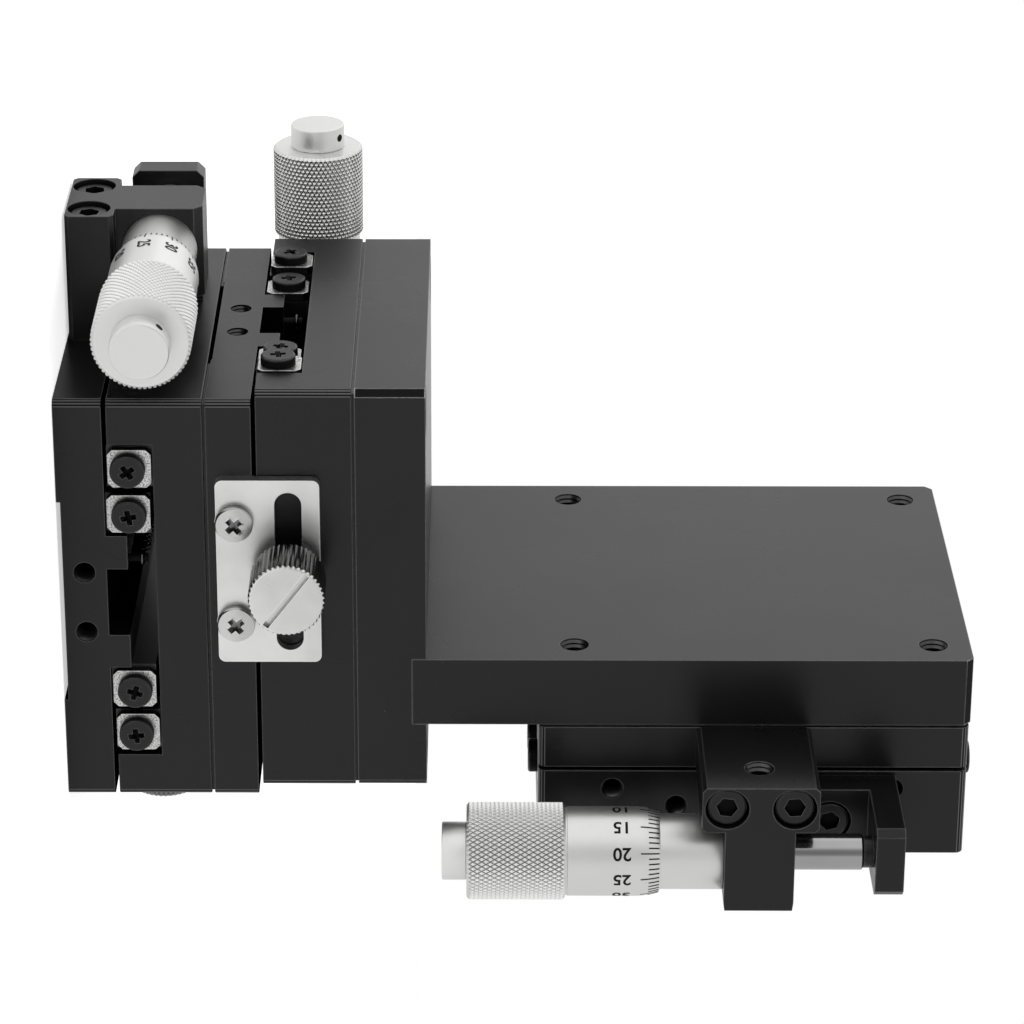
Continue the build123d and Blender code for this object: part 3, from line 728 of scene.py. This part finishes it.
for s, (place, offset, base_body, slide_body) in STAGES.items():
    head = place @ Matrix.Translation((offset, AXIS_Y, AXIS_Z))
    fixed = place @ Matrix.Translation((0, AXIS_Y, AXIS_Z))
    publish(thimble_mesh(), f"{s}_thimble_shell", head, [CHROME, KNURL], f"{s}_thimble", (f"{s}_thimble",),
            smooth=28)
    publish(cap_mesh(), f"{s}_thimble_cap", head, CHROME, f"{s}_thimble", (f"{s}_thimble",))
    publish(spanner_hole(CAP_HOLE[s]), f"{s}_cap_pin_hole", head, SHADE_BLACK, f"{s}_thimble", smooth=20)
    publish(scale_marks(THIMBLE_ZERO[s]), f"{s}_thimble_scale", head, INK, f"{s}_thimble", smooth=None)
    sleeve = lathe([(-4.8, 2.55), (-4.8, 4.75), (4.8, 4.75), (4.85, 5.15), (4.95, SLEEVE_R), (26.9, SLEEVE_R),
                    (27.0, 5.1), (27.0, 2.55)], closed=True)
    publish(sleeve, f"{s}_sleeve_tube", fixed, CHROME, base_body, (f"{s}_sleeve",))
    publish(sleeve_marks(), f"{s}_sleeve_scale", fixed, INK, base_body, smooth=None)
    spindle = lathe([(-14.6, 0), (-14.6, 2.2), (-14.3, 2.5), (33.95, 2.5), (33.95, 2.0), (39.4, 2.0),
                     (39.4, 0)], steps=48)
    publish(spindle, f"{s}_spindle_rod", head, SPINDLE, f"{s}_spindle", (f"{s}_spindle",))

# ---- plates and brackets ----
for s in STAGES:
    for part in ("base_plate", "slide_plate"):
        # The third material paints shade on faces deep inside the plate.
        dressed(f"{s}_{part}", [BLACK, CORNER, INSIDE_SHADE], shape=pick_inside)
    dressed(f"{s}_bracket", BLACK, shape=square_end if s == "z" else None)
    dressed(f"{s}_anvil", BLACK, bevel=0.15)
    dressed(f"{s}_lock_plate", NICKEL, bevel=0.15)
    for part in ("base_rails", "slide_rails"):
        repaint(f"{s}_{part}", RAIL)
    for part, mat in (("roller_cages", CAGE), ("rollers", STEEL)):
        repaint(f"{s}_{part}", mat)
for part in ("bracket_leg", "bracket_arm"):
    dressed(part, [BLACK, SAWN], shape=pick_corners)
for g in ("y_base", "y_slide", "x_slide", "z_slide"):
    # The stops' narrow sides are painted dark as shade.
    dressed(f"{g}_stops", [STOPS, STOP_SIDE_SHADE], bevel=0.12, shape=pick_large)
    # The spring pins are painted near-black as shade.
    repaint(f"{g}_spring_pins", SHADE_BLACK)


# ---- return springs ----
WIRE_R, COIL_R, EYE_R = 0.25, 0.85, 0.87
QUARTER_X = Matrix.Rotation(math.pi / 2, 4, "X")


def coil(x0, x1):
    """Coils of wire from x0 to x1 about the x axis."""
    bm = bmesh.new()
    turns, around = 26, 14
    bmesh.ops.create_circle(bm, cap_ends=True, segments=8, radius=WIRE_R,
                            matrix=Matrix.Translation((x0, COIL_R, 0)) @ QUARTER_X)
    bmesh.ops.spin(bm, geom=list(bm.verts) + list(bm.edges) + list(bm.faces), cent=(0, 0, 0), axis=(1, 0, 0),
                   dvec=((x1 - x0) / (turns * around), 0, 0), angle=math.tau * turns, steps=turns * around)
    bmesh.ops.recalc_face_normals(bm, faces=bm.faces)
    return bm


def eye(x, direction):
    """Ring of wire around a pin at x, with a stem toward the coils."""
    bm = bmesh.new()
    bmesh.ops.create_circle(bm, cap_ends=False, segments=8, radius=WIRE_R,
                            matrix=Matrix.Translation((EYE_R, 0, 0)) @ QUARTER_X)
    bmesh.ops.spin(bm, geom=list(bm.verts) + list(bm.edges), cent=(0, 0, 0), axis=(0, 0, 1), angle=math.tau,
                   steps=28, use_merge=True)
    bmesh.ops.recalc_face_normals(bm, faces=bm.faces)
    stem = box_mm((0.9, -0.2, -0.2), (3.1, 0.2, 0.2))
    if direction < 0:
        bmesh.ops.rotate(stem, verts=stem.verts, cent=(0, 0, 0), matrix=Matrix.Rotation(math.pi, 3, "Z"))
    merge(bm, stem)
    bmesh.ops.transform(bm, matrix=Matrix.Translation((x, 0, 0)), verts=bm.verts)
    return bm


for s, (place, offset, base_body, slide_body) in STAGES.items():
    wire = bmesh.new()
    x0, x1 = PIN_SLIDE_X + offset, PIN_BASE_X
    for piece in (coil(x0 + 2.8, x1 - 2.8), eye(x0, 1), eye(x1, -1)):
        merge(wire, piece, Matrix.Translation((0, SPRING_Y, SPRING_Z)))
    spring = publish(wire, f"{s}_spring_coils", place, WIRE, None, (f"{s}_spring",), smooth=50)
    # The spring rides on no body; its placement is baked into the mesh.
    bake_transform(spring)

# ---- fixings ----
def screws(name, body, mat, seats, replaced=(), inner=SHADE_BLACK, **shape):
    """One piece of several equal screws; a seat is (matrix, point, outward direction, turn)."""
    whole = bmesh.new()
    for place, point, out, turn in seats:
        bm = headed_screw(**shape)
        merge(whole, bm, place @ toward(point, out, turn))
    publish(whole, name, Matrix.Identity(4), [mat, inner], body, replaced, smooth=35)


def bolt_square(matrix, z, shift=0.0):
    """Seats of four bolts at height z, on the square pattern moved back by shift."""
    return [(matrix, (x - shift, y, z), (0, 0, 1), x) for x in BOLTS for y in BOLTS]


CARRIERS = {"y_base": (None, "y"), "y_slide": ("y", "x"), "x_slide": ("x", "z"), "z_slide": ("z", None)}
for body, (below, above) in CARRIERS.items():
    stop_seats, socket_seats, lock_seats, anvil_seats, bolt_seats = [], [], [], [], []
    for s, y in ((below, SLIDE_STOP_Y), (above, BASE_STOP_Y)):
        if not s:
            continue
        place, offset = STAGES[s][0], STAGES[s][1]
        shift = Matrix.Translation((offset if y > 15 else 0, 0, 0))
        for k, (sx, sy) in enumerate(((-1, -1), (-1, 1), (1, -1), (1, 1))):
            turn = 0.4 + 1.1 * k + y
            stop_seats.append((place @ shift, (sx * HALF, sy * y, GROOVE_Z), (sx, 0, 0), turn))
    if above:
        place = STAGES[above][0]
        for x in (-4.6, 4.6):
            socket_seats.append((place, (x, SIDE - BRACKET_DEPTH + FLANGE, FLANGE), (0, -1, 0), 0.5 + x))
        for x in (LOCK_X - LOCK_SCREW_APART, LOCK_X + LOCK_SCREW_APART):
            lock_seats.append((place, (x, -SIDE + LOCK_FACE, LOCK_SCREW_Z), (0, 1, 0), math.radians(40)))
    if below:
        place = STAGES[below][0] @ Matrix.Translation((STAGES[below][1], 0, 0))
        anvil_seats.append((place, (-10.6, SIDE - 1.6, 12.7), (0, -1, 0), 0.3))
    if body == "y_slide":
        bolt_seats += bolt_square(STAGES["x"][0], 2.2)
    if body == "x_slide":
        bolt_seats += bolt_square(STAGES["z"][0], 2.2)
        top = 2 * STAGE + 10
        bolt_seats += bolt_square(WORLD, top - 4.4, X_OFFSET)
        bolt_seats += [(WORLD, (ARM_FACE - 5, y, 2 * STAGE + 4.4), (0, 0, -1), y) for y in (-20, 0, 20)]
    screws(f"{body}_stop_screws", body, SCREW_BLACK, stop_seats, (f"{body}_cross_screws",), head=4.8,
           height=1.35, recess="cross", thread=2.0, length=0.0, edge=0.3)
    if lock_seats:
        screws(f"{above}_lock_plate_screws", body, DULL_NICKEL, lock_seats, (f"{body}_cross_screws",),
               inner=SHADED_NICKEL, head=5.2, height=1.05, recess="cross", thread=2.5, length=5.0, crown=0.25,
               washer=0.3)
    small = socket_seats + anvil_seats
    screws(f"{body}_cap_screws", body, SCREW_BLACK, small, (f"{body}_socket_screws",), head=5.4, height=2.9,
           recess="hex", thread=2.9, length=5.0)
    if bolt_seats:
        screws(f"{body}_bolts", body, SCREW_BLACK, bolt_seats, (f"{body}_socket_screws",), head=6.9,
               height=3.9, recess="hex", thread=3.9, length=7.6)

# ---- free tapped holes ----
for body, (below, above) in CARRIERS.items():
    liners = bmesh.new()
    if above:
        for sx in (-1, 1):
            for y in (-4.5, 4.5):
                merge(liners, thread_liner(1.5, 3.0, 0.5),
                      STAGES[above][0] @ toward((sx * HALF, y, 3.5), (sx, 0, 0)))
        merge(liners, thread_liner(2.0, 2.0, 0.7), STAGES[above][0] @ toward((0, AXIS_Y, 0.3), (0, 0, -1)))
    if below:
        for x, z in ((-19.6, 10.0), (19.6, 10.0), (10.6, 12.7)):
            merge(liners, thread_liner(1.5, 3.0, 0.5),
                  STAGES[below][0] @ toward((x + STAGES[below][1], SIDE, z), (0, -1, 0)))
    if body == "x_slide":
        for dz in BOLTS:
            for y in BOLTS:
                merge(liners, thread_liner(2.0, 1.4, 0.7),
                      WORLD @ toward((ARM_FACE - 10, y, Z_MID + dz), (-1, 0, 0)))
    if body == "z_slide":
        for x in BOLTS:
            for y in BOLTS:
                merge(liners, thread_liner(1.65, 4.0, 0.7), STAGES["z"][0] @ toward((x, y, STAGE), (0, 0, 1)))
    publish(liners, f"{body}_thread_walls", Matrix.Identity(4), THREAD, body, smooth=20)

# ---- locking knobs ----
KNOB_R, KNOB_HEIGHT, KNOB_NECK_R, KNOB_TEETH = 5.2, 9.35, 4.1, 44
TOOTH = (1.0, 0.985, 0.95, 0.985)            # one tooth's radii, as shares of the knob's
SLOT_HALF, SLOT_DEPTH = 0.45, 0.8


def knob_mesh(turn):
    """Thumb screw along +Z: straight-knurled rim, flat face with a screwdriver slot."""
    bm = bmesh.new()
    tooth = TOOTH * KNOB_TEETH
    around = len(tooth)
    half_tooth = [(1 + t) / 2 for t in tooth]
    r, h = KNOB_R, KNOB_HEIGHT
    loops = [ring(bm, around, KNOB_NECK_R, 0.0), ring(bm, around, KNOB_NECK_R, 1.6),
             ring(bm, around, r - 0.5, 1.62)]
    loops += [ring(bm, around, r, 2.0, tooth), ring(bm, around, r, h - 0.30, tooth)]
    loops += [ring(bm, around, r - 0.2, h - 0.06, half_tooth), ring(bm, around, r - 0.45, h)]
    for a, b in zip(loops, loops[1:]):
        bridge(bm, a, b)
    bmesh.ops.contextual_create(bm, geom=edges_of(loops[0]))
    bmesh.ops.contextual_create(bm, geom=edges_of(loops[-1]))
    for co in (SLOT_HALF, -SLOT_HALF):
        geom = [f for f in bm.faces if f.calc_center_median().z > h - 0.2]
        geom = list(set(geom) | {v for f in geom for v in f.verts} | {e for f in geom for e in f.edges})
        bmesh.ops.bisect_plane(bm, geom=geom, plane_co=(0, co, 0), plane_no=(0, 1, 0), dist=1e-5)
    slot = [f for f in bm.faces if f.calc_center_median().z > h - 0.01 and abs(f.calc_center_median().y) < 0.3
            and f.calc_area() > 1.0]
    moved = bmesh.ops.extrude_face_region(bm, geom=slot)["geom"]
    bmesh.ops.delete(bm, geom=slot, context="FACES_ONLY")
    floor_verts = [v for v in moved if isinstance(v, bmesh.types.BMVert)]
    bmesh.ops.translate(bm, verts=floor_verts, vec=(0, 0, -SLOT_DEPTH))
    bmesh.ops.recalc_face_normals(bm, faces=bm.faces)
    # Rim and slot walls take the darker nickel, a painted shade; the face and slot floor stay bright.
    for f in bm.faces:
        centre = f.calc_center_median()
        slot_floor = abs(f.normal.z) > 0.9 and abs(centre.z - h + SLOT_DEPTH) < 0.1
        f.material_index = 0 if centre.z > h - 0.2 or slot_floor else 1
    bmesh.ops.rotate(bm, verts=bm.verts, cent=(0, 0, 0), matrix=Matrix.Rotation(turn, 3, "Z"))
    return bm


for s, turn in (("y", 0.5), ("x", 2.494), ("z", math.radians(58))):
    place, offset = STAGES[s][0], STAGES[s][1]
    seat = place @ toward((LOCK_KNOB_X + offset, -SIDE + LOCK_FACE, LOCK_Z), (0, 1, 0))
    publish(knob_mesh(turn), f"{s}_lock_thumb_screw", seat, [NICKEL, SHADED_NICKEL], f"{s}_lock",
            (f"{s}_lock_knob",), smooth=25)

# ---- floor, light, camera ----
def plain_surface(name):
    """Matt backdrop that reads white to the camera."""
    mat = bpy.data.materials.new(name)
    mat.use_nodes = True
    tree = mat.node_tree
    out = tree.nodes["Material Output"]
    bsdf = tree.nodes["Principled BSDF"]
    bsdf.inputs["Base Color"].default_value = (0.86, 0.86, 0.86, 1)
    bsdf.inputs["Roughness"].default_value = 0.9
    bsdf.inputs["Specular IOR Level"].default_value = 0.0
    glow = tree.nodes.new("ShaderNodeEmission")
    glow.inputs["Strength"].default_value = 0.55
    both = tree.nodes.new("ShaderNodeAddShader")
    pick = tree.nodes.new("ShaderNodeMixShader")
    path = tree.nodes.new("ShaderNodeLightPath")
    link(tree, bsdf.outputs[0], both.inputs[0])
    link(tree, glow.outputs[0], both.inputs[1])
    link(tree, path.outputs["Is Camera Ray"], pick.inputs["Fac"])
    link(tree, bsdf.outputs[0], pick.inputs[1])
    link(tree, both.outputs[0], pick.inputs[2])
    link(tree, pick.outputs[0], out.inputs["Surface"])
    return mat


floor_bm = bmesh.new()
bmesh.ops.create_circle(floor_bm, cap_ends=True, segments=96, radius=3.0)
bmesh.ops.translate(floor_bm, verts=floor_bm.verts, vec=(0, 0, -0.00005))
floor_mesh = bpy.data.meshes.new("floor")
floor_bm.to_mesh(floor_mesh)
floor_bm.free()
floor_mesh.materials.append(plain_surface("floor_white"))
floor = bpy.data.objects.new("floor", floor_mesh)
bpy.context.scene.collection.objects.link(floor)

world = bpy.data.worlds.new("studio")
bpy.context.scene.world = world
world.use_nodes = True
wt = world.node_tree
wt.nodes.clear()
wout = wt.nodes.new("ShaderNodeOutputWorld")
dim = wt.nodes.new("ShaderNodeBackground")
heading = wt.nodes.new("ShaderNodeTexCoord").outputs["Generated"]


def lobe(direction, inner, outer, amount):
    """Soft patch of more or less light around one direction."""
    dot = wt.nodes.new("ShaderNodeVectorMath")
    dot.operation = "DOT_PRODUCT"
    dot.inputs[1].default_value = Vector(direction).normalized()
    link(wt, heading, dot.inputs[0])
    soft = wt.nodes.new("ShaderNodeMapRange")
    soft.interpolation_type = "SMOOTHSTEP"
    soft.inputs["From Min"].default_value, soft.inputs["From Max"].default_value = outer, inner
    soft.inputs["To Min"].default_value, soft.inputs["To Max"].default_value = 0.0, amount
    link(wt, dot.outputs["Value"], soft.inputs["Value"])
    return soft.outputs["Result"]


level = math_node(wt, "ADD", 0.90, lobe((-0.4047, -0.9144, 0.0116), 1.0, 0.85, -0.50))
level = math_node(wt, "ADD", level, lobe((-0.97, -0.24, 0.0), 1.0, 0.6, 0.28))
level = math_node(wt, "ADD", level, lobe((-0.41, 0.91, 0.0), 1.0, 0.4, 0.55))
link(wt, level, dim.inputs["Strength"])
white = wt.nodes.new("ShaderNodeBackground")
white.inputs["Strength"].default_value = 1.0
white.inputs["Color"].default_value = (1, 1, 1, 1)
wpick = wt.nodes.new("ShaderNodeMixShader")
wpath = wt.nodes.new("ShaderNodeLightPath")
link(wt, wpath.outputs["Is Camera Ray"], wpick.inputs["Fac"])
link(wt, dim.outputs[0], wpick.inputs[1])
link(wt, white.outputs[0], wpick.inputs[2])
link(wt, wpick.outputs[0], wout.inputs["Surface"])


def panel(name, place, look, size, power):
    """Soft rectangular lamp that stays out of reflections."""
    data = bpy.data.lights.new(name, "AREA")
    data.shape = "RECTANGLE"
    data.size, data.size_y = size
    data.energy = power
    lamp = bpy.data.objects.new(name, data)
    bpy.context.scene.collection.objects.link(lamp)
    lamp.location = place
    lamp.rotation_euler = (Vector(look) - Vector(place)).to_track_quat("-Z", "Y").to_euler()
    lamp.visible_glossy = False


panel("key_left", (-0.62, -0.10, 0.14), (0, 0, 0.06), (0.5, 0.7), 2.6)
panel("high", (-0.15, -0.30, 0.75), (0, 0, 0.06), (0.6, 0.6), 1.6)

cam_data = bpy.data.cameras.new("camera")
cam_data.sensor_width = 36.0
cam_data.lens = 143.25
cam_data.shift_x = 0.07535
cam_data.shift_y = -0.01334
cam_data.clip_start = 0.01
cam = bpy.data.objects.new("camera", cam_data)
bpy.context.scene.collection.objects.link(cam)
right, up, ahead = (Vector(v) for v in ((0.003114, 0.011263, 0.999932), (-0.914453, 0.404688, -0.001710),
                                        (0.404679, 0.914386, -0.011560)))
turned = Matrix((right, up, -ahead)).transposed().to_4x4()
turned.translation = Vector((-0.24002, -0.53676, 0.05805))
cam.matrix_world = turned
bpy.context.scene.camera = cam
bpy.context.scene.view_settings.view_transform = "Standard"
